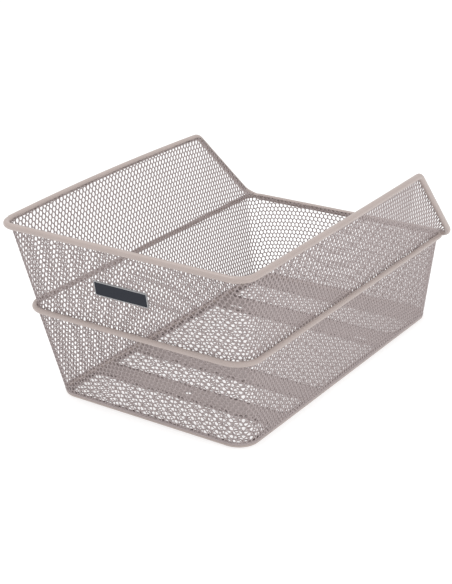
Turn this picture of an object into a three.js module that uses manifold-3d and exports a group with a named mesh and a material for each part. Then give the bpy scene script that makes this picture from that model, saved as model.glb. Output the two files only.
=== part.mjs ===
// Rear carrier basket of a bicycle, in millimetres.
// +Z is up, the tall badge wall faces -Y and the low wall faces +Y.
// The origin is on the resting plane, under the middle of the basket's outline.
// Three closed wire hoops carry panels of expanded sheet, which are made here as plain thin sheets.
import * as THREE from "three";
import Module from "manifold-3d";
import { mergeVertices } from "three/addons/utils/BufferGeometryUtils.js";

// Clearance between pieces that touch on the real basket
const GAP = 0.3;
const SHEET = 1.2;

// The hoops are given at the centre of their wires
const BASE = {
  wireRadius: 2,
  halfWidth: 121,
  nearY: -187.5,
  farY: 227.5,
  cornerRadius: 21.5,
};
const BELT = {
  wireRadius: 3,
  nearHalfWidth: 139,
  farHalfWidth: 138.6,
  nearY: -214.1,
  farY: 226,
  nearHeight: 106.5,
  farHeight: 111,
  nearCornerRadius: 25.5,
  farCornerRadius: 17.5,
};
const RIM = {
  wireRadius: 3.5,
  nearHalfWidth: 149.5,
  peakHalfWidth: 150.3,
  farHalfWidth: 144.5,
  nearY: -231.7,
  peakY: 123.5,
  farY: 231.7,
  nearHeight: 202.5,
  peakHeight: 211.1,
  farHeight: 107.2,
  nearCornerRadius: 17.5,
  peakRadius: 16,
  farCornerRadius: 20,
  bowOut: 3.5,
  bowUp: 2,
};

// Floor: the frame and its cross strips lie lowest, and panels of expanded sheet lie on their edges
const PLATE_THICKNESS = 1.5;
const PANEL_BOTTOM = PLATE_THICKNESS + GAP;
const PANEL_OVERLAP = 3;
const PANEL_CORNER_RADIUS = 13;
const FRAME_INSET = BASE.wireRadius + GAP;
const FRAME_WIDTH = 5;
const WINDOW_HALF_WIDTH = BASE.halfWidth - FRAME_INSET - FRAME_WIDTH;
const WINDOW_NEAR = BASE.nearY + FRAME_INSET + FRAME_WIDTH;
const WINDOW_FAR = BASE.farY - FRAME_INSET - FRAME_WIDTH;

// Cross strips of the floor, from the near one to the far one, with the holes through them.
// The stretch of each that lies open between two panels is given, and it reaches on under both of them.
const STRIPS = [
  { name: "floor_strip_near", from: -127, to: -101, holes: [{ x: 0, y: -114, length: 8, width: 8 }] },
  { name: "floor_strip_middle", from: -57, to: -30, holes: [] },
  {
    name: "floor_strip_far",
    from: 107,
    to: 142,
    holes: [
      { x: -88, y: 116, length: 20, width: 6.5 },
      { x: 88, y: 116, length: 20, width: 6.5 },
    ],
  },
  { name: "floor_strip_end", from: 195, to: WINDOW_FAR - PANEL_OVERLAP - GAP, holes: [] },
];
const PANEL_NAMES = ["floor_mesh_near", "floor_mesh_second", "floor_mesh_middle", "floor_mesh_far"];

// Badge on the outside of the near wall, held through the expanded sheet by two rivets
const BADGE = {
  x: -4,
  height: 153.2,
  width: 66,
  tall: 16.4,
  thickness: 1.6,
  cornerRadius: 1.6,
  bezelWidth: 0.8,
  backingThickness: 1,
  rivetSpacing: 40,
  rivetRadius: 1.4,
  rivetHeadRadius: 2.6,
  rivetHeadThickness: 0.9,
};

const WIRE_SIDES = 12;
const CORNER_STEPS = 8;
const PEAK_STEPS = 4;
const SIDE_STEPS = 5;

const wasm = await Module();
wasm.setup();

const taupe = { color: 0xb7a6a0, metalness: 0.15, roughness: 0.42 };
const basket = new THREE.Group();

function addPiece(name, geometry, look, parent = basket) {
  const mesh = new THREE.Mesh(geometry, new THREE.MeshStandardMaterial(look));
  mesh.name = name;
  parent.add(mesh);
  return mesh;
}

// Points of the arc that rounds one corner of a path, from the side it comes in on to the side it leaves on
function cornerArc(before, corner, after, radius, steps) {
  const back = before.clone().sub(corner).normalize();
  const ahead = after.clone().sub(corner).normalize();
  const halfOpening = back.angleTo(ahead) / 2;
  const reach = radius / Math.tan(halfOpening);
  const bisector = back.clone().add(ahead).normalize();
  const centre = corner.clone().addScaledVector(bisector, radius / Math.sin(halfOpening));
  const start = corner.clone().addScaledVector(back, reach).sub(centre);
  const turn = Math.PI - 2 * halfOpening;
  const axis = new THREE.Vector3().crossVectors(ahead, back).normalize();
  const points = [];
  for (let i = 0; i <= steps; i++) {
    points.push(start.clone().applyAxisAngle(axis, (turn * i) / steps).add(centre));
  }
  return points;
}

// The rounded corners of a hoop, in order: one list of points for each corner
function hoopCorners(corners) {
  return corners.map((corner, i) => {
    const before = corners[(i + corners.length - 1) % corners.length].at;
    const after = corners[(i + 1) % corners.length].at;
    return cornerArc(before, corner.at, after, corner.radius, corner.steps ?? CORNER_STEPS);
  });
}

function pointsBetween(from, to, steps) {
  const points = [];
  for (let i = 1; i < steps; i++) {
    points.push(from.clone().lerp(to, i / steps));
  }
  return points;
}

// A closed hoop of round wire: a ring of points round each station, each ring joined to the next
function hoopWire(stations, radius) {
  const positions = [];
  const indices = [];
  const count = stations.length;
  stations.forEach((station, i) => {
    const before = stations[(i + count - 1) % count];
    const after = stations[(i + 1) % count];
    const tangent = after.clone().sub(station).normalize();
    tangent.add(station.clone().sub(before).normalize()).normalize();
    const side = new THREE.Vector3().crossVectors(tangent, new THREE.Vector3(0, 0, 1)).normalize();
    const up = new THREE.Vector3().crossVectors(side, tangent);
    for (let j = 0; j < WIRE_SIDES; j++) {
      const angle = (2 * Math.PI * j) / WIRE_SIDES;
      const point = station.clone();
      point.addScaledVector(side, radius * Math.cos(angle));
      point.addScaledVector(up, radius * Math.sin(angle));
      positions.push(point.x, point.y, point.z);
      const next = (j + 1) % WIRE_SIDES;
      const here = i * WIRE_SIDES;
      const there = ((i + 1) % count) * WIRE_SIDES;
      indices.push(here + j, there + j, there + next);
      indices.push(here + j, there + next, here + next);
    }
  });
  const geometry = new THREE.BufferGeometry();
  geometry.setAttribute("position", new THREE.Float32BufferAttribute(positions, 3));
  geometry.setIndex(indices);
  return geometry;
}

// Hoop corners run anticlockwise seen from above, starting at the near right
function baseCorners() {
  const { halfWidth, nearY, farY, wireRadius, cornerRadius } = BASE;
  const places = [
    [halfWidth, nearY],
    [halfWidth, farY],
    [-halfWidth, farY],
    [-halfWidth, nearY],
  ];
  return places.map(([x, y]) => ({ at: new THREE.Vector3(x, y, wireRadius), radius: cornerRadius }));
}

function beltCorners() {
  const { nearHalfWidth, farHalfWidth, nearY, farY, nearHeight, farHeight } = BELT;
  const places = [
    [nearHalfWidth, nearY, nearHeight, BELT.nearCornerRadius],
    [farHalfWidth, farY, farHeight, BELT.farCornerRadius],
    [-farHalfWidth, farY, farHeight, BELT.farCornerRadius],
    [-nearHalfWidth, nearY, nearHeight, BELT.nearCornerRadius],
  ];
  return places.map(([x, y, z, radius]) => ({ at: new THREE.Vector3(x, y, z), radius }));
}

function rimCorners() {
  const near = { radius: RIM.nearCornerRadius };
  const peak = { radius: RIM.peakRadius, steps: PEAK_STEPS };
  const far = { radius: RIM.farCornerRadius };
  const places = [
    [RIM.nearHalfWidth, RIM.nearY, RIM.nearHeight, near],
    [RIM.peakHalfWidth, RIM.peakY, RIM.peakHeight, peak],
    [RIM.farHalfWidth, RIM.farY, RIM.farHeight, far],
    [-RIM.farHalfWidth, RIM.farY, RIM.farHeight, far],
    [-RIM.peakHalfWidth, RIM.peakY, RIM.peakHeight, peak],
    [-RIM.nearHalfWidth, RIM.nearY, RIM.nearHeight, near],
  ];
  return places.map(([x, y, z, bend]) => ({ at: new THREE.Vector3(x, y, z), ...bend }));
}

// The tall sides of the rim bow outwards and upwards between the near corner and the peak
function bowed(point) {
  const middle = (RIM.nearY + RIM.peakY) / 2;
  const reach = (RIM.peakY - RIM.nearY) / 2;
  const along = (point.y - middle) / reach;
  const share = Math.max(0, 1 - along * along);
  return new THREE.Vector3(
    point.x + Math.sign(point.x) * RIM.bowOut * share,
    point.y,
    point.z + RIM.bowUp * share,
  );
}

const baseArcs = hoopCorners(baseCorners());
const beltArcs = hoopCorners(beltCorners());
const rimArcs = hoopCorners(rimCorners());

// The rim's right side, from the end of its near corner to the start of its far corner
const rimRightSide = [
  rimArcs[0].at(-1),
  ...pointsBetween(rimArcs[0].at(-1), rimArcs[1][0], SIDE_STEPS),
  ...rimArcs[1],
  rimArcs[2][0],
].map(bowed);

const mirrored = (point) => new THREE.Vector3(-point.x, point.y, point.z);

function rimStations() {
  const right = [...rimArcs[0].slice(0, -1), ...rimRightSide, ...rimArcs[2].slice(1)];
  return [...right, ...right.map(mirrored).reverse()];
}

addPiece("base_wire", hoopWire(baseArcs.flat(), BASE.wireRadius), taupe);
addPiece("belt_wire", hoopWire(beltArcs.flat(), BELT.wireRadius), taupe);
addPiece("rim_wire", hoopWire(rimStations(), RIM.wireRadius), taupe);

// Wall rows run up the wall: at the base hoop, just under and over the belt, and at the rim.
// The sheet stands on the outer top of the base wire, and lies on the inside of the two upper wires.
// In the far corners the rim comes down to the belt, so the sheet's top row ends there.
const BELT_BAND = 4;
const RIM_STEPS_IN_FAR_CORNER = 1;

function inwardShift(outward, distance) {
  return new THREE.Vector3(-Math.cos(outward) * distance, -Math.sin(outward) * distance, 0);
}

function wallStation(outward, base, belt, rim) {
  const beltShift = inwardShift(outward, BELT.wireRadius + GAP);
  const rows = [
    base.clone().add(inwardShift(outward, -BASE.wireRadius)).add(new THREE.Vector3(0, 0, BASE.wireRadius)),
    belt.clone().add(beltShift).add(new THREE.Vector3(0, 0, -BELT_BAND)),
    belt.clone().add(beltShift).add(new THREE.Vector3(0, 0, BELT_BAND)),
  ];
  if (rim) {
    rows.push(rim.clone().add(inwardShift(outward, RIM.wireRadius + GAP)));
  }
  return { outward, rows };
}

// Half of the wrapped wall, from its middle on the near side to its end in the far right corner
function wrapHalfStations() {
  const stations = [];
  for (let i = 0; i <= CORNER_STEPS; i++) {
    const outward = (-Math.PI / 2) * (1 - i / CORNER_STEPS);
    stations.push(wallStation(outward, baseArcs[0][i], beltArcs[0][i], rimArcs[0][i]));
  }
  const first = rimRightSide[0].y;
  const length = rimRightSide.at(-1).y - first;
  rimRightSide.slice(1).forEach((rim) => {
    const along = (rim.y - first) / length;
    const base = baseArcs[0].at(-1).clone().lerp(baseArcs[1][0], along);
    const belt = beltArcs[0].at(-1).clone().lerp(beltArcs[1][0], along);
    stations.push(wallStation(0, base, belt, rim));
  });
  for (let i = 1; i <= CORNER_STEPS / 2; i++) {
    const outward = ((Math.PI / 2) * i) / CORNER_STEPS;
    const rim = i <= RIM_STEPS_IN_FAR_CORNER ? rimArcs[2][i] : undefined;
    stations.push(wallStation(outward, baseArcs[1][i], beltArcs[1][i], rim));
  }
  return stations;
}

function mirroredStation({ outward, rows }) {
  return { outward: Math.PI - outward, rows: rows.map(mirrored) };
}

// The low far wall fills the rest of the loop, between the two far corners
function farWallStations() {
  const half = [];
  for (let i = CORNER_STEPS / 2; i <= CORNER_STEPS; i++) {
    const outward = ((Math.PI / 2) * i) / CORNER_STEPS;
    half.push(wallStation(outward, baseArcs[1][i], beltArcs[1][i]));
  }
  return [...half, ...half.map(mirroredStation).reverse()];
}

// A closed thin sheet through the rows of a list of stations, with its thickness on the inside
function wallSheet(stations) {
  const positions = [];
  const cornerIndex = new Map();
  const vertex = (station, row, inside) => {
    const key = `${station},${row},${inside}`;
    if (!cornerIndex.has(key)) {
      const { outward, rows } = stations[station];
      const point = rows[row].clone().add(inwardShift(outward, inside ? SHEET : 0));
      cornerIndex.set(key, positions.length / 3);
      positions.push(point.x, point.y, point.z);
    }
    return cornerIndex.get(key);
  };
  const edges = new Map();
  const indices = [];
  const addFace = (a, b, c, d) => indices.push(a, b, c, a, c, d);
  for (let i = 0; i + 1 < stations.length; i++) {
    const rowCount = Math.min(stations[i].rows.length, stations[i + 1].rows.length);
    for (let j = 0; j + 1 < rowCount; j++) {
      const ring = [[i, j], [i + 1, j], [i + 1, j + 1], [i, j + 1]];
      addFace(...ring.map(([s, r]) => vertex(s, r, false)));
      addFace(...ring.map(([s, r]) => vertex(s, r, true)).reverse());
      ring.forEach((corner, k) => {
        const next = ring[(k + 1) % ring.length];
        const reversed = `${next}|${corner}`;
        if (edges.has(reversed)) {
          edges.delete(reversed);
        } else {
          edges.set(`${corner}|${next}`, [corner, next]);
        }
      });
    }
  }
  edges.forEach(([[s1, r1], [s2, r2]]) => {
    addFace(vertex(s2, r2, false), vertex(s1, r1, false), vertex(s1, r1, true), vertex(s2, r2, true));
  });
  const geometry = new THREE.BufferGeometry();
  geometry.setAttribute("position", new THREE.Float32BufferAttribute(positions, 3));
  geometry.setIndex(indices);
  return geometry;
}

// Draws the last station back along the wall, to leave a clearance at the corner seam
function trimmedEnd(stations) {
  const last = stations.at(-1);
  const previous = stations.at(-2);
  const rows = last.rows.map((point, j) => {
    const back = previous.rows[j].clone().sub(point).setLength(GAP);
    return point.clone().add(back);
  });
  return [...stations.slice(0, -1), { outward: last.outward, rows }];
}

function toSolid(geometry, matrix = new THREE.Matrix4()) {
  const bare = geometry.clone().applyMatrix4(matrix);
  bare.deleteAttribute("normal");
  bare.deleteAttribute("uv");
  const merged = mergeVertices(bare, 1e-4);
  const mesh = new wasm.Mesh({
    numProp: 3,
    vertProperties: new Float32Array(merged.attributes.position.array),
    triVerts: new Uint32Array(merged.index.array),
  });
  return new wasm.Manifold(mesh);
}

function toGeometry(solid) {
  const { vertProperties, triVerts } = solid.getMesh();
  const geometry = new THREE.BufferGeometry();
  geometry.setAttribute("position", new THREE.BufferAttribute(vertProperties, 3));
  geometry.setIndex(new THREE.BufferAttribute(triVerts, 1));
  return geometry;
}

// A rectangle with round corners, with its middle at x, y
function roundedOutline(OutlineType, x, y, width, length, radius) {
  const left = x - width / 2;
  const right = x + width / 2;
  const bottom = y - length / 2;
  const top = y + length / 2;
  const outline = new OutlineType();
  outline.moveTo(left + radius, bottom);
  outline.lineTo(right - radius, bottom);
  outline.absarc(right - radius, bottom + radius, radius, -Math.PI / 2, 0, false);
  outline.lineTo(right, top - radius);
  outline.absarc(right - radius, top - radius, radius, 0, Math.PI / 2, false);
  outline.lineTo(left + radius, top);
  outline.absarc(left + radius, top - radius, radius, Math.PI / 2, Math.PI, false);
  outline.lineTo(left, bottom + radius);
  outline.absarc(left + radius, bottom + radius, radius, Math.PI, 1.5 * Math.PI, false);
  return outline;
}

function plate(outline, bottom, thickness, arcSteps = 8) {
  const geometry = new THREE.ExtrudeGeometry(outline, {
    depth: thickness,
    bevelEnabled: false,
    curveSegments: arcSteps,
  });
  return geometry.translate(0, 0, bottom);
}

// Floor pieces
function insideBase(OutlineType, inset) {
  const width = 2 * (BASE.halfWidth - inset);
  const length = BASE.farY - BASE.nearY - 2 * inset;
  const middle = (BASE.farY + BASE.nearY) / 2;
  return roundedOutline(OutlineType, 0, middle, width, length, BASE.cornerRadius - inset);
}

const frameOutline = insideBase(THREE.Shape, FRAME_INSET);
frameOutline.holes.push(insideBase(THREE.Path, FRAME_INSET + FRAME_WIDTH));
addPiece("floor_frame", plate(frameOutline, 0, PLATE_THICKNESS), taupe);

function crossPlate(halfWidth, from, to, radius) {
  return roundedOutline(THREE.Shape, 0, (from + to) / 2, 2 * halfWidth, to - from, radius);
}

// The last strip's ends are round, to clear the round corners of the frame's window
const END_STRIP_RADIUS = BASE.cornerRadius - FRAME_INSET - FRAME_WIDTH - GAP;
for (const { name, from, to, holes } of STRIPS) {
  const near = from - PANEL_OVERLAP;
  const far = to + PANEL_OVERLAP;
  const isLast = name === STRIPS.at(-1).name;
  const outline = crossPlate(WINDOW_HALF_WIDTH - GAP, near, far, isLast ? END_STRIP_RADIUS : 1);
  for (const hole of holes) {
    const roundEnd = hole.width / 2 - 0.01;
    outline.holes.push(roundedOutline(THREE.Path, hole.x, hole.y, hole.length, hole.width, roundEnd));
  }
  addPiece(name, plate(outline, 0, PLATE_THICKNESS), taupe);
}

// Each panel of expanded sheet covers the window on the near side of one strip
PANEL_NAMES.forEach((name, i) => {
  const near = i ? STRIPS[i - 1].to : WINDOW_NEAR - PANEL_OVERLAP;
  const outline = crossPlate(WINDOW_HALF_WIDTH + PANEL_OVERLAP, near, STRIPS[i].from, PANEL_CORNER_RADIUS);
  addPiece(name, plate(outline, PANEL_BOTTOM, SHEET), taupe);
});

// Walls, with two holes for the badge rivets through the near wall
const wrapHalf = trimmedEnd(wrapHalfStations());
const wrapStations = [...wrapHalf.map(mirroredStation).reverse(), ...wrapHalf];
const farWall = wallSheet(farWallStations());

const nearWallLow = wrapHalf[0].rows[2];
const nearWallHigh = wrapHalf[0].rows[3];
const nearWallLean = Math.atan2(nearWallLow.y - nearWallHigh.y, nearWallHigh.z - nearWallLow.z);
const badgeShare = (BADGE.height - nearWallLow.z) / (nearWallHigh.z - nearWallLow.z);

const badge = new THREE.Group();
badge.position.set(BADGE.x, THREE.MathUtils.lerp(nearWallLow.y, nearWallHigh.y, badgeShare), BADGE.height);
badge.rotation.x = Math.PI / 2 + nearWallLean;
basket.add(badge);
badge.updateMatrixWorld(true);

const rivetPlaces = [
  { name: "badge_rivet_left", x: -BADGE.rivetSpacing / 2 },
  { name: "badge_rivet_right", x: BADGE.rivetSpacing / 2 },
];

function rivetHole(x, y, low, high) {
  const hole = new THREE.CylinderGeometry(BADGE.rivetRadius + GAP, BADGE.rivetRadius + GAP, high - low, 16);
  hole.rotateX(Math.PI / 2);
  return hole.translate(x, y, (low + high) / 2);
}

let wrap = toSolid(wallSheet(wrapStations));
for (const { x } of rivetPlaces) {
  wrap = wrap.subtract(toSolid(rivetHole(x, 0, -3 * SHEET, SHEET), badge.matrixWorld));
}
addPiece("wall_mesh", toGeometry(wrap), taupe);
addPiece("far_wall_mesh", farWall, taupe);

// Badge pieces stand off the wall along the badge's own Z
const badgeLook = { color: 0x2a323a, metalness: 0, roughness: 0.4 };
const bezelLook = { color: 0xb9bdc0, metalness: 0, roughness: 0.45 };

const bezelOutline = roundedOutline(THREE.Shape, 0, 0, BADGE.width, BADGE.tall, BADGE.cornerRadius);
const windowWidth = BADGE.width - 2 * BADGE.bezelWidth;
const windowTall = BADGE.tall - 2 * BADGE.bezelWidth;
const windowRadius = BADGE.cornerRadius - BADGE.bezelWidth;
bezelOutline.holes.push(roundedOutline(THREE.Path, 0, 0, windowWidth, windowTall, windowRadius));
addPiece("badge_bezel", plate(bezelOutline, GAP, BADGE.thickness), bezelLook, badge);

const insertOutline = roundedOutline(
  THREE.Shape,
  0,
  0,
  windowWidth - 2 * GAP,
  windowTall - 2 * GAP,
  windowRadius - GAP,
);
addPiece("badge_plate", plate(insertOutline, GAP, BADGE.thickness - GAP), badgeLook, badge);

const backingTop = -SHEET - GAP;
const backingBottom = backingTop - BADGE.backingThickness;
const backingOutline = roundedOutline(THREE.Shape, 0, 0, BADGE.width - 8, BADGE.tall - 4, BADGE.cornerRadius);
let backing = toSolid(plate(backingOutline, backingBottom, BADGE.backingThickness));
for (const { x } of rivetPlaces) {
  backing = backing.subtract(toSolid(rivetHole(x, 0, backingBottom - SHEET, backingTop + SHEET)));
}
addPiece("badge_backing", toGeometry(backing), badgeLook, badge);

// A rivet's shank runs from the back of the badge plate, and its head lies on the backing
function rivet(x) {
  const headTop = backingBottom - GAP;
  const headBottom = headTop - BADGE.rivetHeadThickness;
  const profile = [
    new THREE.Vector2(0, headBottom),
    new THREE.Vector2(BADGE.rivetHeadRadius * 0.8, headBottom),
    new THREE.Vector2(BADGE.rivetHeadRadius, headTop),
    new THREE.Vector2(BADGE.rivetRadius, headTop),
    new THREE.Vector2(BADGE.rivetRadius, 0),
    new THREE.Vector2(0, 0),
  ];
  const geometry = new THREE.LatheGeometry(profile, 16);
  geometry.rotateX(Math.PI / 2);
  return geometry.translate(x, 0, 0);
}

for (const { name, x } of rivetPlaces) {
  addPiece(name, rivet(x), badgeLook, badge);
}

export default basket;
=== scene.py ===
"""Looks of a bicycle rear carrier basket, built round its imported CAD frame.

The three hoops are round wire, and the walls and the floor are expanded steel sheet with real openings.
Lengths are in millimetres here and become metres when a mesh is made.
"""
import math

import bmesh
import bpy
import numpy as np
from mathutils import Matrix, Vector, noise
from mathutils.kdtree import KDTree


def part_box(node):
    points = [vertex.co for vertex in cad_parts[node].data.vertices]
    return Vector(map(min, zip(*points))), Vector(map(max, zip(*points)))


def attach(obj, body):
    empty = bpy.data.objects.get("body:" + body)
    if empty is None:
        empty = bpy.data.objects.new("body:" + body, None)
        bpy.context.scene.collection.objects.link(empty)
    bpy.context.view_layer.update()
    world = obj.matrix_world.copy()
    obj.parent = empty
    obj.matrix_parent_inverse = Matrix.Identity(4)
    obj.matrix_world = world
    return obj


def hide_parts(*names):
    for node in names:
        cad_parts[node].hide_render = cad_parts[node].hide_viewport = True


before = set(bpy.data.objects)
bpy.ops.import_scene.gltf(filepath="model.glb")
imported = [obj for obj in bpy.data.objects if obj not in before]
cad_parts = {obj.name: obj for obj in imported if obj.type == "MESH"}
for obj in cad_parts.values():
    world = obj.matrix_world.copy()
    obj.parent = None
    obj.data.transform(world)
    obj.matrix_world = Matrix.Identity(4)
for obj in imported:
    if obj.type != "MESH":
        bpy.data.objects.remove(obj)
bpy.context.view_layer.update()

MM = 0.001

# Expanded sheet: openings stand in rows, each row half a pitch along from the one below.
# Lengths along an opening's long way are in millimetres, and widths are in pitches of its short way.
# The strands are twisted out of the sheet: their two edges lie this far before and behind the middle.
WALL_SHEET = {
    "row_spacing": 5.2,
    "bond_half_length": 1.75,
    "opening_half_length": 2.75,
    "opening_half_width": 0.4,
    "shoulder_across": 0.32,
    "shoulder_up": 1.75,
    "thickness": 1.0,
    "strand_twist": 0.36,
}
FLOOR_SHEET = {
    "pitch": 10.2,
    "row_spacing": 9.6,
    "bond_half_length": 2.2,
    "opening_half_length": 6.3,
    "opening_half_width": 0.4,
    "shoulder_across": 0.34,
    "shoulder_up": 2.4,
    "thickness": 1.2,
    "strand_twist": 0.7,
}

# How much thinner the strands' edges are than their middles, as a share
EDGE_THINNING = 0.35

# Openings counted round the basket, from the middle of the near wall to the middle of the far wall
NEAR_CORNER_COLUMN = 24.5
SIDE_MIDDLE_COLUMN = 63.0
FAR_CORNER_COLUMN = 102.0
FAR_MIDDLE_COLUMN = 124.5
ROUND_TRIP = 2 * FAR_MIDDLE_COLUMN

# The rows sag towards the corners, where the sheet was pulled round
NEAR_CORNER_SAG = 25.0
FAR_CORNER_SAG = 15.0

# Half the height of the band of wall that lies flat against the belt wire
BELT_BAND = 4.0

# The plain edge along the foot of the walls
FOOT_EDGE_HEIGHT = 1.8
FOOT_EDGE_THICKNESS = 1.7

# Weld beads stand between the belt and the rim, wherever the two wires are this close or closer
WELD_REACH = 1.5
WELD_SPACING = 38.0
WELD_LENGTH = 11.0
WELD_WIDTH = 3.6
WELD_LUMP_SIZE = 1.6
WELD_LUMP_HEIGHT = 0.15

# The floor panels' corners are cut off by this much
PANEL_CORNER = 8.0

# Rounding of the edges of the pressed plates and of the badge's pieces
EDGE_ROUNDING = 0.25

# Where the wall sheet stands on the base wire, just below the wire's top
FOOT_SINK = 0.4

# How deep a sheet's face is sunk into the wire it lies against
SHEET_CONTACT = 0.1

# Vertices closer than this are one, and smaller faces than this many square millimetres are dropped
WELD_DISTANCE = 0.02
SMALLEST_FACE = 0.01

WIRE_SIDES = 20
CORNER_STEPS = 16
SIDE_STEPS = 24


def box_mm(node):
    low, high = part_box(node)
    return [v / MM for v in low], [v / MM for v in high]


def base_shape():
    low, high = box_mm("base_wire")
    wire = (high[2] - low[2]) / 2
    return {
        "wire": wire,
        "half_width": high[0] - wire,
        "near": low[1] + wire,
        "far": high[1] - wire,
        "height": wire,
        "corner": 21.5,
    }


def belt_shape():
    wire = 3.0
    low, high = box_mm("belt_wire")
    return {
        "wire": wire,
        "near_half_width": high[0] - wire,
        "far_half_width": high[0] - wire - 0.4,
        "near": low[1] + wire,
        "far": high[1] - wire,
        "near_height": low[2] + wire,
        "far_height": high[2] - wire,
        "near_corner": 25.5,
        "far_corner": 17.5,
    }


def rim_shape():
    wire = 3.5
    low, high = box_mm("rim_wire")
    return {
        "wire": wire,
        "near_half_width": 149.5,
        "peak_half_width": 150.3,
        "far_half_width": 144.5,
        "near": low[1] + wire,
        "peak": 123.5,
        "far": high[1] - wire,
        "near_height": 202.5,
        "peak_height": high[2] - wire,
        "far_height": low[2] + wire,
        "near_corner": 17.5,
        "peak_bend": 16.0,
        "far_corner": 20.0,
        "bow_out": 3.5,
        "bow_up": 2.0,
    }


BASE = base_shape()
BELT = belt_shape()
RIM = rim_shape()


# ---------------------------------------------------------------- hoops


def corner_arc(before, corner, after, radius, steps):
    """Points of the arc that rounds one corner of a path, in the plane of its two sides."""
    back = (before - corner).normalized()
    ahead = (after - corner).normalized()
    half_opening = back.angle(ahead) / 2
    centre = corner + (back + ahead).normalized() * (radius / math.sin(half_opening))
    start = corner + back * (radius / math.tan(half_opening)) - centre
    axis = ahead.cross(back).normalized()
    turn = math.pi - 2 * half_opening
    return [centre + Matrix.Rotation(turn * i / steps, 3, axis) @ start for i in range(steps + 1)]


def between(start, end, steps):
    """Evenly spaced points inside a straight stretch."""
    return [start.lerp(end, i / steps) for i in range(1, steps)]


def bowed(point):
    """The rim's tall sides bow outwards and upwards between the near corner and the peak."""
    middle = (RIM["near"] + RIM["peak"]) / 2
    along = (point.y - middle) / (RIM["peak"] - middle)
    share = max(0.0, 1 - along * along)
    return point + Vector((RIM["bow_out"] * share, 0, RIM["bow_up"] * share))


def half_hoop(corners):
    """The right half of a hoop, from the middle of its near side to the middle of its far side.

    Each corner is (place, radius). The result is the path and the index of the middle of each corner.
    """
    places = [place for place, _ in corners]
    start = Vector((0, places[0].y, places[0].z))
    end = Vector((0, places[-1].y, places[-1].z))
    path = [start]
    middles = []
    for i, (place, radius) in enumerate(corners):
        before = places[i - 1] if i else start
        after = places[i + 1] if i + 1 < len(places) else end
        arc = corner_arc(before, place, after, radius, CORNER_STEPS)
        path += between(path[-1], arc[0], SIDE_STEPS)
        middles.append(len(path) + CORNER_STEPS // 2)
        path += arc
    path += between(path[-1], end, SIDE_STEPS)
    path.append(end)
    return path, middles


def base_half():
    height = BASE["height"]
    near = Vector((BASE["half_width"], BASE["near"], height))
    far = Vector((BASE["half_width"], BASE["far"], height))
    return half_hoop([(near, BASE["corner"]), (far, BASE["corner"])])


def belt_half():
    near = Vector((BELT["near_half_width"], BELT["near"], BELT["near_height"]))
    far = Vector((BELT["far_half_width"], BELT["far"], BELT["far_height"]))
    return half_hoop([(near, BELT["near_corner"]), (far, BELT["far_corner"])])


def rim_half():
    near = Vector((RIM["near_half_width"], RIM["near"], RIM["near_height"]))
    peak = Vector((RIM["peak_half_width"], RIM["peak"], RIM["peak_height"]))
    far = Vector((RIM["far_half_width"], RIM["far"], RIM["far_height"]))
    path, middles = half_hoop(
        [(near, RIM["near_corner"]), (peak, RIM["peak_bend"]), (far, RIM["far_corner"])]
    )
    first_corner_end = middles[0] + CORNER_STEPS // 2
    path = path[:first_corner_end] + [bowed(p) for p in path[first_corner_end:]]
    return path, [middles[0], middles[2]]


def whole_hoop(half):
    left = [Vector((-p.x, p.y, p.z)) for p in reversed(half[1:-1])]
    return half + left


def closed_tube(stations, radius, sides):
    """Vertices and faces of a closed hoop of round wire."""
    vertices = []
    faces = []
    count = len(stations)
    for i, station in enumerate(stations):
        before = stations[i - 1]
        after = stations[(i + 1) % count]
        tangent = ((after - station).normalized() + (station - before).normalized()).normalized()
        side = tangent.cross(Vector((0, 0, 1))).normalized()
        up = side.cross(tangent)
        for j in range(sides):
            angle = 2 * math.pi * j / sides
            vertices.append(station + side * radius * math.cos(angle) + up * radius * math.sin(angle))
            here = i * sides
            there = ((i + 1) % count) * sides
            following = (j + 1) % sides
            faces.append((here + j, there + j, there + following, here + following))
    return vertices, faces


# ---------------------------------------------------------------- objects


def add_object(name, mesh, material):
    piece = bpy.data.objects.new(name, mesh)
    bpy.context.scene.collection.objects.link(piece)
    mesh.materials.clear()
    mesh.materials.append(material)
    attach(piece, "root")
    return piece


def mesh_from(name, vertices, faces):
    mesh = bpy.data.meshes.new(name)
    mesh.from_pydata([tuple(c * MM for c in v) for v in vertices], [], faces)
    mesh.validate()
    mesh.shade_smooth()
    return mesh


def add_wire(name, half, radius, material):
    vertices, faces = closed_tube(whole_hoop(half), radius, WIRE_SIDES)
    wire = add_object(name, mesh_from(name, vertices, faces), material)
    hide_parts(name.replace("_tube", "_wire"))
    return wire


# ---------------------------------------------------------------- expanded sheet


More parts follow.
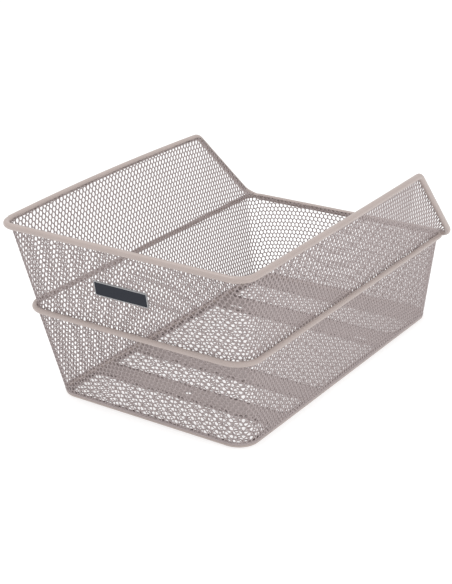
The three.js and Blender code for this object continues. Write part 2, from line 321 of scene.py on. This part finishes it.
class Level:
    """One height of the wall: a path round the basket that a count of openings finds a place on."""

    def __init__(self, path, corner_middles, inset, lift=0.0, far_half_by_y=False):
        points = np.array([tuple(p) for p in path])
        tangents = np.gradient(points, axis=0)[:, :2]
        tangents /= np.linalg.norm(tangents, axis=1)[:, None]
        outward = np.stack([tangents[:, 1], -tangents[:, 0]], axis=1)
        self.points = points.copy()
        self.points[:, :2] -= outward * inset
        self.points[:, 2] += lift
        self.columns = self.count_columns(points, corner_middles, far_half_by_y)

    def count_columns(self, points, corner_middles, far_half_by_y):
        """Spreads the openings evenly between the corners and the middles of the sides."""
        steps = np.linalg.norm(np.diff(points, axis=0), axis=1)
        length = np.concatenate([[0], np.cumsum(steps)])
        near_corner, far_corner = corner_middles
        side_y = (points[near_corner, 1] + points[far_corner, 1]) / 2
        side_middle = near_corner + int(np.argmin(abs(points[near_corner:far_corner, 1] - side_y)))
        marks = [0, near_corner, side_middle, far_corner, len(points) - 1]
        counts = [0, NEAR_CORNER_COLUMN, SIDE_MIDDLE_COLUMN, FAR_CORNER_COLUMN, FAR_MIDDLE_COLUMN]
        columns = np.interp(length, length[marks], counts)
        if far_half_by_y:
            stretch = slice(side_middle, far_corner + 1)
            ends = points[[side_middle, far_corner], 1]
            columns[stretch] = np.interp(points[stretch, 1], ends, counts[2:4])
        return columns

    def at(self, columns):
        """Places on this level for an array of column numbers, which may run right round the basket."""
        wrapped = np.mod(columns + FAR_MIDDLE_COLUMN, ROUND_TRIP) - FAR_MIDDLE_COLUMN
        places = [np.interp(abs(wrapped), self.columns, self.points[:, k]) for k in range(3)]
        places[0] = np.where(wrapped < 0, -places[0], places[0])
        return np.stack(places, axis=-1)


def sag(columns):
    """How far the rows hang below their height at the middle of each side."""
    wrapped = abs(np.mod(columns + FAR_MIDDLE_COLUMN, ROUND_TRIP) - FAR_MIDDLE_COLUMN)
    marks = [0, NEAR_CORNER_COLUMN, SIDE_MIDDLE_COLUMN, FAR_CORNER_COLUMN, FAR_MIDDLE_COLUMN]
    shares = np.interp(wrapped, marks, [0, 1, 0, -1, 0])
    depth = np.where(shares > 0, NEAR_CORNER_SAG, FAR_CORNER_SAG)
    return depth * shares**2


def wall_surface(levels):
    """A function from column number and distance up the wall to places, and the height where it ends."""

    def climbs(columns):
        knots = np.stack([level.at(columns) for level in levels])
        lengths = np.linalg.norm(np.diff(knots, axis=0), axis=-1)
        return knots, lengths

    def surface(columns, up):
        knots, lengths = climbs(columns)
        places = knots[0].copy()
        climbed = np.zeros_like(up)
        for k, length in enumerate(lengths):
            share = np.clip((up - climbed) / length, 0, 1)
            places += share[..., None] * (knots[k + 1] - knots[k])
            climbed = climbed + length
        return places

    def top(columns):
        return climbs(columns)[1].sum(axis=0)

    return surface, top


def eight_corners(end, shoulder, side):
    """An eight-cornered outline: its ends, its sides, and the four shoulders between them."""
    across, up = shoulder
    quarter = [(0, end), (across, up), (side, 0), (across, -up)]
    return quarter + [(-x, -y) for x, y in quarter]


def cell_corners(kind):
    """One opening's cell: eight places on its border, then the eight corners of the opening."""
    bond = kind["bond_half_length"]
    tip = kind["row_spacing"] - bond
    shoulder = (kind["shoulder_across"], kind["shoulder_up"])
    border = eight_corners(tip, (0.5, bond), 0.5)
    opening = eight_corners(kind["opening_half_length"], shoulder, kind["opening_half_width"])
    return np.array(border + opening)


def cell_centres(kind, first_column, last_column, first_row, last_row):
    """Column and distance up of each opening's centre, between two columns and two rows."""
    centres = []
    for row in range(first_row, last_row):
        shift = 0.5 * (row % 2)
        column = math.ceil(first_column - shift) + shift
        while column < last_column:
            centres.append((column, row * kind["row_spacing"]))
            column += 1
    return np.array(centres)


def sheet_object(name, kind, centres, surface, up_shift, limits, material):
    """Expanded sheet over the given openings.

    surface places (column, distance up), up_shift moves the rows, and limits gives the lowest and the
    highest distance up that the sheet reaches at a column. What lies past them is cut off there.
    """
    corners = cell_corners(kind)
    columns = centres[:, None, 0] + corners[None, :, 0]
    up = centres[:, None, 1] + corners[None, :, 1] + up_shift(columns)
    low, high = limits(columns)
    up = np.clip(up, low, high)
    places = surface(columns, up)
    step = 0.05
    across = surface(columns + step, up) - surface(columns - step, up)
    rise = surface(columns, np.clip(up + 1, low, high)) - surface(columns, np.clip(up - 1, low, high))
    normals = np.cross(across, rise)
    normals /= np.maximum(np.linalg.norm(normals, axis=-1, keepdims=True), 1e-9)
    twist = -kind["strand_twist"] * corners[:, 0] / kind["opening_half_width"]
    twist[:8] = 0
    places = places + normals * twist[None, :, None]

    per_cell = len(corners)
    ring = [(k, (k + 1) % 8, 8 + (k + 1) % 8, 8 + k) for k in range(8)]
    starts = np.arange(len(centres)) * per_cell
    faces = (starts[:, None, None] + np.array(ring)[None, :, ::-1]).reshape(-1, 4)

    mesh = mesh_from(name, places.reshape(-1, 3).tolist(), faces.tolist())
    weld_cells(mesh, np.tile(np.arange(per_cell) < 8, len(centres)))
    sheet = add_object(name, mesh, material)
    strands = sheet.vertex_groups.new(name="strand_middle")
    marks = mesh.attributes["strand_middle"].data
    middle = [i for i, mark in enumerate(marks) if mark.value]
    strands.add(middle, 1.0, "REPLACE")
    thicken = sheet.modifiers.new("Sheet thickness", "SOLIDIFY")
    thicken.thickness = kind["thickness"] * MM
    thicken.offset = 0
    thicken.vertex_group = strands.name
    thicken.thickness_vertex_group = 1 - EDGE_THINNING
    return sheet


def weld_cells(mesh, is_border):
    """Joins neighbouring cells, drops what was cut off, and marks the middle lines of the strands."""
    work = bmesh.new()
    work.from_mesh(mesh)
    layer = work.verts.layers.bool.new("strand_middle")
    for vertex, border in zip(work.verts, is_border):
        vertex[layer] = bool(border)
    bmesh.ops.remove_doubles(work, verts=work.verts, dist=WELD_DISTANCE * MM)
    bmesh.ops.dissolve_degenerate(work, edges=work.edges, dist=WELD_DISTANCE * MM)
    thin = [face for face in work.faces if face.calc_area() < SMALLEST_FACE * MM * MM]
    bmesh.ops.delete(work, geom=thin, context="FACES")
    loose = [vertex for vertex in work.verts if not vertex.link_faces]
    bmesh.ops.delete(work, geom=loose, context="VERTS")
    work.to_mesh(mesh)
    work.free()
    mesh.shade_smooth()


def add_walls(material):
    touch = WALL_SHEET["thickness"] / 2 - SHEET_CONTACT
    base = Level(*base_half(), inset=-BASE["wire"] + touch, lift=BASE["wire"] - FOOT_SINK)
    belt_low = Level(*belt_half(), inset=BELT["wire"] + touch, lift=-BELT_BAND)
    belt_high = Level(*belt_half(), inset=BELT["wire"] + touch, lift=BELT_BAND)
    belt_top = Level(*belt_half(), inset=BELT["wire"] + touch, lift=BELT["wire"] / 3)
    rim = Level(*rim_half(), inset=RIM["wire"] + touch, far_half_by_y=True)

    tall_surface, tall_top = wall_surface([base, belt_low, belt_high, rim])
    low_surface, low_top = wall_surface([base, belt_low, belt_top])
    add_foot_edge(tall_surface, material)
    pieces = [
        ("near_wall_sheet", -NEAR_CORNER_COLUMN, NEAR_CORNER_COLUMN, tall_surface, tall_top, "wall_mesh"),
        ("right_wall_sheet", NEAR_CORNER_COLUMN, FAR_CORNER_COLUMN, tall_surface, tall_top, "wall_mesh"),
        ("left_wall_sheet", -FAR_CORNER_COLUMN, -NEAR_CORNER_COLUMN, tall_surface, tall_top, "wall_mesh"),
        (
            "far_wall_sheet",
            FAR_CORNER_COLUMN,
            ROUND_TRIP - FAR_CORNER_COLUMN,
            low_surface,
            low_top,
            "far_wall_mesh",
        ),
    ]
    for name, first, last, surface, top, node in pieces:
        centres = cell_centres(WALL_SHEET, first, last, -1, 50)
        up = centres[:, 1] - sag(centres[:, 0])
        reach = WALL_SHEET["row_spacing"] / 2
        kept = (up > -reach) & (up < top(centres[:, 0]) + reach)

        def limits(columns, top=top):
            return 0.0, top(columns)

        sheet = sheet_object(name, WALL_SHEET, centres[kept], surface, lambda c: -sag(c), limits, material)
        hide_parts(node)


def add_foot_edge(surface, material):
    """The plain edge of the wall sheet, which stands on the base wire all the way round."""
    steps = int(2 * ROUND_TRIP)
    columns = np.arange(steps) / 2
    rows = [surface(columns, np.full(steps, up)) for up in (0.0, FOOT_EDGE_HEIGHT / 2, FOOT_EDGE_HEIGHT)]
    vertices = np.concatenate(rows).tolist()
    faces = []
    for i in range(steps):
        after = (i + 1) % steps
        for row in (0, steps):
            faces.append((row + i, row + after, row + steps + after, row + steps + i))
    edge = add_object("foot_edge", mesh_from("foot_edge", vertices, faces), material)
    thicken = edge.modifiers.new("Edge thickness", "SOLIDIFY")
    thicken.thickness = FOOT_EDGE_THICKNESS * MM
    thicken.offset = 0


def add_welds(material):
    """Short weld beads where the belt meets the rim, along the far side and in its corners."""
    rim_path = rim_half()[0]
    belt_path = belt_half()[0]
    tree = KDTree(len(belt_path))
    for i, point in enumerate(belt_path):
        tree.insert(point, i)
    tree.balance()
    share = RIM["wire"] / (RIM["wire"] + BELT["wire"])
    close = RIM["wire"] + BELT["wire"] + WELD_REACH
    spaced = []
    for i in range(1, len(rim_path) - 1):
        nearest, _, distance = tree.find(rim_path[i])
        apart = not spaced or (rim_path[i] - spaced[-1][0]).length > WELD_SPACING
        if distance < close and apart:
            along = (rim_path[i + 1] - rim_path[i - 1]).normalized()
            spaced.append((rim_path[i], rim_path[i].lerp(nearest, share), along))
    beads = bmesh.new()
    for _, place, along in spaced:
        for side in (1, -1):
            turn = Vector((along.x * side, along.y, along.z)).to_track_quat("X", "Z").to_matrix().to_4x4()
            shape = Matrix.Diagonal((WELD_LENGTH / 2, WELD_WIDTH / 2, WELD_WIDTH / 2, 1))
            move = Matrix.Translation(Vector((place.x * side, place.y, place.z)) * MM)
            scale = Matrix.Scale(MM, 4)
            bmesh.ops.create_uvsphere(
                beads, u_segments=16, v_segments=10, radius=1, matrix=move @ turn @ scale @ shape
            )
    for vertex in beads.verts:
        lump = noise.noise_vector(vertex.co / (WELD_LUMP_SIZE * MM))
        vertex.co += lump * WELD_LUMP_HEIGHT * MM
    mesh = bpy.data.meshes.new("weld_beads")
    beads.to_mesh(mesh)
    beads.free()
    mesh.shade_smooth()
    add_object("weld_beads", mesh, material)


def add_floor_panels(material):
    """The floor's panels of coarser expanded sheet, each from one strip to the next."""
    pitch = FLOOR_SHEET["pitch"]
    for place in ("near", "second", "middle", "far"):
        node = f"floor_mesh_{place}"
        low, high = box_mm(node)
        half_width = high[0]
        height = (low[2] + high[2]) / 2

        def surface(columns, up, low=low, high=high, height=height):
            y = np.clip(-columns * pitch, low[1], high[1])
            return np.stack([up, y, np.full_like(y, height)], axis=-1)

        def limits(columns, low=low, high=high, half_width=half_width):
            to_edge = np.minimum(-columns * pitch - low[1], high[1] + columns * pitch)
            cut = np.clip(PANEL_CORNER - to_edge, 0, PANEL_CORNER)
            return cut - half_width, half_width - cut

        last_row = math.ceil(half_width / FLOOR_SHEET["row_spacing"]) + 1
        first_column = -high[1] / pitch - 1
        last_column = -low[1] / pitch + 1
        centres = cell_centres(FLOOR_SHEET, first_column, last_column, -last_row, last_row)
        name = f"floor_sheet_{place}"
        sheet = sheet_object(name, FLOOR_SHEET, centres, surface, lambda c: 0 * c, limits, material)
        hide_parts(node)


# ---------------------------------------------------------------- materials


def node_material(name):
    material = bpy.data.materials.new(name)
    material.use_nodes = True
    nodes = material.node_tree.nodes
    return material, nodes, material.node_tree.links, nodes["Principled BSDF"]


def powder_coat(name, light, dark, roughness, grain):
    """Satin powder coat: soft colour drift, a fine orange-peel bump and uneven gloss."""
    material, nodes, links, shader = node_material(name)
    place = nodes.new("ShaderNodeTexCoord")
    drift = nodes.new("ShaderNodeTexNoise")
    drift.inputs["Scale"].default_value = 28
    drift.inputs["Detail"].default_value = 3
    links.new(place.outputs["Object"], drift.inputs["Vector"])
    colour = nodes.new("ShaderNodeMix")
    colour.data_type = "RGBA"
    colour.inputs["A"].default_value = (*dark, 1)
    colour.inputs["B"].default_value = (*light, 1)
    links.new(drift.outputs["Fac"], colour.inputs["Factor"])
    links.new(colour.outputs["Result"], shader.inputs["Base Color"])

    gloss = nodes.new("ShaderNodeMapRange")
    gloss.inputs["From Min"].default_value = 0.3
    gloss.inputs["From Max"].default_value = 0.7
    gloss.inputs["To Min"].default_value = roughness - 0.05
    gloss.inputs["To Max"].default_value = roughness + 0.06
    peel = nodes.new("ShaderNodeTexNoise")
    peel.inputs["Scale"].default_value = 620
    peel.inputs["Detail"].default_value = 2
    links.new(place.outputs["Object"], peel.inputs["Vector"])
    links.new(peel.outputs["Fac"], gloss.inputs["Value"])
    links.new(gloss.outputs["Result"], shader.inputs["Roughness"])
    bump = nodes.new("ShaderNodeBump")
    bump.inputs["Strength"].default_value = grain
    bump.inputs["Distance"].default_value = 0.0002
    links.new(peel.outputs["Fac"], bump.inputs["Height"])
    links.new(bump.outputs["Normal"], shader.inputs["Normal"])
    return material


def moulded_plastic(name, light, dark, roughness):
    """Moulded plastic with a very fine spark-eroded grain."""
    material, nodes, links, shader = node_material(name)
    place = nodes.new("ShaderNodeTexCoord")
    grain = nodes.new("ShaderNodeTexNoise")
    grain.inputs["Scale"].default_value = 1500
    grain.inputs["Detail"].default_value = 2
    links.new(place.outputs["Object"], grain.inputs["Vector"])
    colour = nodes.new("ShaderNodeMix")
    colour.data_type = "RGBA"
    colour.inputs["A"].default_value = (*dark, 1)
    colour.inputs["B"].default_value = (*light, 1)
    links.new(grain.outputs["Fac"], colour.inputs["Factor"])
    links.new(colour.outputs["Result"], shader.inputs["Base Color"])
    shader.inputs["Roughness"].default_value = roughness
    shader.inputs["Specular IOR Level"].default_value = 0.25
    bump = nodes.new("ShaderNodeBump")
    bump.inputs["Strength"].default_value = 0.25
    bump.inputs["Distance"].default_value = 0.00005
    links.new(grain.outputs["Fac"], bump.inputs["Height"])
    links.new(bump.outputs["Normal"], shader.inputs["Normal"])
    return material


# ---------------------------------------------------------------- studio


def add_studio():
    """A plain pale floor, a white surround and large soft lights."""
    size = 40.0
    height = -0.0006
    mesh = bpy.data.meshes.new("studio_floor")
    corners = [(-size, -size, height), (size, -size, height), (size, size, height), (-size, size, height)]
    mesh.from_pydata(corners, [], [(0, 1, 2, 3)])
    floor = bpy.data.objects.new("studio_floor", mesh)
    bpy.context.scene.collection.objects.link(floor)
    material, nodes, links, shader = node_material("studio_floor")
    shader.inputs["Base Color"].default_value = (0.5, 0.5, 0.5, 1)
    shader.inputs["Roughness"].default_value = 0.9
    shader.inputs["Emission Color"].default_value = (1, 1, 1, 1)
    shader.inputs["Emission Strength"].default_value = 0.62
    mesh.materials.append(material)

    world = bpy.data.worlds.new("studio")
    world.use_nodes = True
    background = world.node_tree.nodes["Background"]
    background.inputs["Color"].default_value = (1, 1, 1, 1)
    background.inputs["Strength"].default_value = 0.85
    bpy.context.scene.world = world

    add_light("key_light", (-0.6, -0.5, 2.1), 0.9, 13)
    add_light("fill_light", (1.7, -0.4, 1.2), 1.0, 6)


def add_light(name, place, size, power):
    light = bpy.data.lights.new(name, "AREA")
    light.shape = "SQUARE"
    light.size = size
    light.energy = power
    lamp = bpy.data.objects.new(name, light)
    lamp.location = place
    lamp.rotation_mode = "QUATERNION"
    lamp.rotation_quaternion = (Vector((0, 0, 0.1)) - Vector(place)).to_track_quat("-Z", "Y")
    bpy.context.scene.collection.objects.link(lamp)


def add_camera():
    azimuth = math.radians(33.92)
    elevation = math.radians(22.31)
    roll = math.radians(-0.4)
    target = Vector((-0.0507, 0.0352, 0.0571))
    distance = 1.5362
    forward = Vector(
        (
            -math.sin(azimuth) * math.cos(elevation),
            math.cos(azimuth) * math.cos(elevation),
            -math.sin(elevation),
        )
    )
    right = forward.cross(Vector((0, 0, 1))).normalized()
    up = right.cross(forward)
    tilted_right = right * math.cos(roll) + up * math.sin(roll)
    tilted_up = up * math.cos(roll) - right * math.sin(roll)
    data = bpy.data.cameras.new("camera")
    data.sensor_width = 36
    data.lens = 80.1
    data.clip_end = 100
    camera = bpy.data.objects.new("camera", data)
    turn = Matrix((tilted_right, tilted_up, -forward)).transposed()
    camera.matrix_world = Matrix.Translation(target - forward * distance) @ turn.to_4x4()
    bpy.context.scene.collection.objects.link(camera)
    bpy.context.scene.camera = camera


def main():
    add_camera()
    add_studio()
    wire_coat = powder_coat("wire_coat", (0.46, 0.387, 0.36), (0.42, 0.352, 0.327), 0.34, 0.12)
    # The wall and floor sheet has the same powder coat as the wires; its darker colour is painted shade
    # for the inside of the basket.
    shaded_mesh_coat = powder_coat("shaded_mesh_coat", (0.4, 0.338, 0.333), (0.36, 0.303, 0.298), 0.42, 0.12)
    # The floor frame and strips have that same coat too; their still darker colour is painted shade on the
    # floor inside the basket.
    shaded_plate_coat = powder_coat("shaded_plate_coat", (0.35, 0.297, 0.289), (0.316, 0.268, 0.26), 0.45, 0.15)
    dark_plastic = moulded_plastic("dark_plastic", (0.011, 0.014, 0.024), (0.008, 0.011, 0.02), 0.5)
    light_plastic = moulded_plastic("light_plastic", (0.4, 0.4, 0.41), (0.36, 0.36, 0.37), 0.42)
    add_wire("rim_tube", rim_half()[0], RIM["wire"], wire_coat)
    add_wire("belt_tube", belt_half()[0], BELT["wire"], wire_coat)
    add_wire("base_tube", base_half()[0], BASE["wire"], wire_coat)
    add_walls(shaded_mesh_coat)
    add_welds(wire_coat)
    add_floor_panels(shaded_mesh_coat)
    cad_looks = {
        "floor_frame": shaded_plate_coat,
        "floor_strip_near": shaded_plate_coat,
        "floor_strip_middle": shaded_plate_coat,
        "floor_strip_far": shaded_plate_coat,
        "floor_strip_end": shaded_plate_coat,
        "badge_bezel": light_plastic,
        "badge_plate": dark_plastic,
        "badge_backing": dark_plastic,
        "badge_rivet_left": dark_plastic,
        "badge_rivet_right": dark_plastic,
    }
    for node, material in cad_looks.items():
        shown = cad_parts[node]
        for slot in shown.material_slots:
            slot.material = material
        if not shown.material_slots:
            shown.data.materials.append(material)
        soften = shown.modifiers.new("Soft edges", "BEVEL")
        soften.width = EDGE_ROUNDING * MM
        soften.segments = 2
        soften.limit_method = "ANGLE"
        soften.angle_limit = math.radians(40)


main()
bpy.context.scene.view_settings.view_transform = "Standard"
